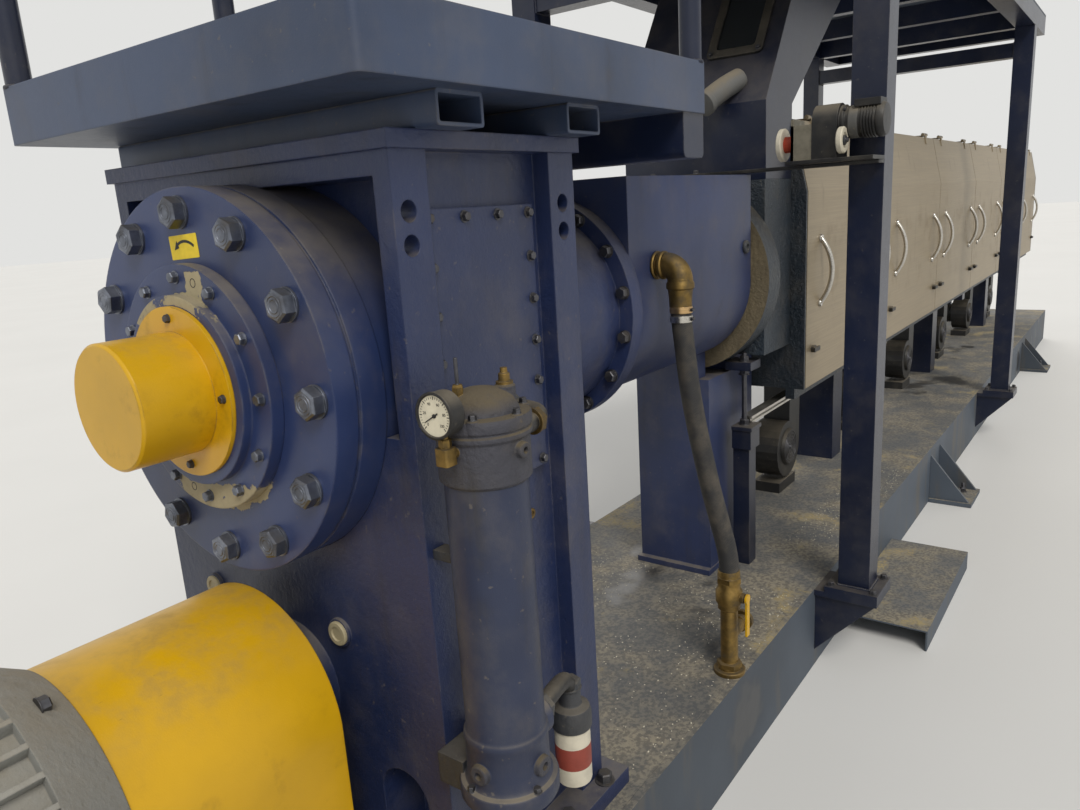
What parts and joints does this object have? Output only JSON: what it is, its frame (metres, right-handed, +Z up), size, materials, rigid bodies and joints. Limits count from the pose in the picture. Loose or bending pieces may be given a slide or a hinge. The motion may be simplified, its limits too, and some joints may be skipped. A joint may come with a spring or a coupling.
{
  "type": "plastic extruder",
  "caption": "Single-screw plastic extruder: skid base, motor, gearbox with thrust housing, feed throat under a hopper deck, barrel behind hinged covers.",
  "frame": {"origin": "on the floor under the middle of the feed throat, at the underside of the base", "axes": "+X along the screw to the discharge end, +Y away from the operator's side, +Z up"},
  "size_m": [11.08, 1.497, 3.548],
  "materials": {
    "base_grey": "dusty satin paint",
    "motor_grey": "dusty rough paint",
    "dark_iron": "oiled cast iron",
    "guard_yellow": "scuffed satin paint",
    "gearbox_blue": "satin paint",
    "platform_blue": "satin paint",
    "column_navy": "gloss paint",
    "feed_blue": "satin paint",
    "panel_blue": "hammertone paint",
    "bright_steel": "ground steel",
    "brass": "tarnished brass",
    "rubber": "matt hose rubber",
    "filter_blue": "dusty satin paint",
    "gauge_cream": "enamel dial in a black case",
    "cream_plastic": "plain painted can",
    "fin_aluminium": "cast aluminium fins",
    "cover_beige": "smooth beige paint",
    "black_paint": "dusty black paint"
  },
  "bodies": {
    "root": {"base_sides": "base_grey", "base_deck": "base_grey", "base_crossmembers": "base_grey", "anchor_brackets_back": "base_grey", "anchor_brackets_middle": "base_grey", "anchor_brackets_front": "base_grey", "floor_duct": "base_grey", "motor": "motor_grey", "drive_coupling": "dark_iron", "coupling_guard": "guard_yellow", "gearbox_housing": "gearbox_blue", "gearbox_side_covers": "gearbox_blue", "thrust_housing": "gearbox_blue", "thrust_bolts": "dark_iron", "bearing_cap": "gearbox_blue", "shaft_guard": "guard_yellow", "platform_tray": "platform_blue", "platform_frame": "column_navy", "feed_housing": "feed_blue", "feed_casting": "panel_blue", "feed_pedestal": "feed_blue", "adjusting_post": "column_navy", "slide_rail": "bright_steel", "chute": "column_navy", "hopper": "platform_blue", "hopper_lid": "platform_blue", "water_fittings": "brass", "water_hose": "rubber", "oil_filter": "filter_blue", "oil_filter_head": "filter_blue", "pressure_gauge": "gauge_cream", "spin_on_filter": "cream_plastic", "barrel": "dark_iron", "discharge_adaptor": "dark_iron", "heater_shells": "fin_aluminium", "zone_blowers": "dark_iron", "barrel_pedestals": "column_navy", "cover_frames": "panel_blue", "cover_roof": "cover_beige", "far_covers": "cover_beige", "portal_1": "column_navy", "portal_2": "column_navy", "deck_beams": "column_navy", "deck_floor": "base_grey", "gearmotor_bar": "column_navy", "gearmotor": "black_paint"},
    "cover_1": {"cover_1": "cover_beige"},
    "cover_2": {"cover_2": "cover_beige"},
    "cover_3": {"cover_3": "cover_beige"},
    "cover_4": {"cover_4": "cover_beige"},
    "cover_5": {"cover_5": "cover_beige"},
    "cover_6": {"cover_6": "cover_beige"},
    "valve_lever": {"valve_lever": "guard_yellow"}
  },
  "joints": [
    {"name": "cover_1_hinge", "type": "hinge", "parent": "root", "child": "cover_1", "pos_m": [0.68, -0.262, 1.864], "axis": [-1, 0, 0], "range_deg": [0, 90]},
    {"name": "cover_2_hinge", "type": "hinge", "parent": "root", "child": "cover_2", "pos_m": [1.81, -0.262, 1.864], "axis": [-1, 0, 0], "range_deg": [0, 90]},
    {"name": "cover_3_hinge", "type": "hinge", "parent": "root", "child": "cover_3", "pos_m": [2.94, -0.262, 1.864], "axis": [-1, 0, 0], "range_deg": [0, 14]},
    {"name": "cover_4_hinge", "type": "hinge", "parent": "root", "child": "cover_4", "pos_m": [4.07, -0.262, 1.864], "axis": [-1, 0, 0], "range_deg": [0, 90]},
    {"name": "cover_5_hinge", "type": "hinge", "parent": "root", "child": "cover_5", "pos_m": [5.2, -0.262, 1.864], "axis": [-1, 0, 0], "range_deg": [0, 90]},
    {"name": "cover_6_hinge", "type": "hinge", "parent": "root", "child": "cover_6", "pos_m": [6.33, -0.262, 1.864], "axis": [-1, 0, 0], "range_deg": [0, 90]},
    {"name": "valve_lever_turn", "type": "hinge", "parent": "root", "child": "valve_lever", "pos_m": [-0.87, -0.5055, 0.525], "axis": [0, 1, 0], "range_deg": [0, 90]}
  ]
}
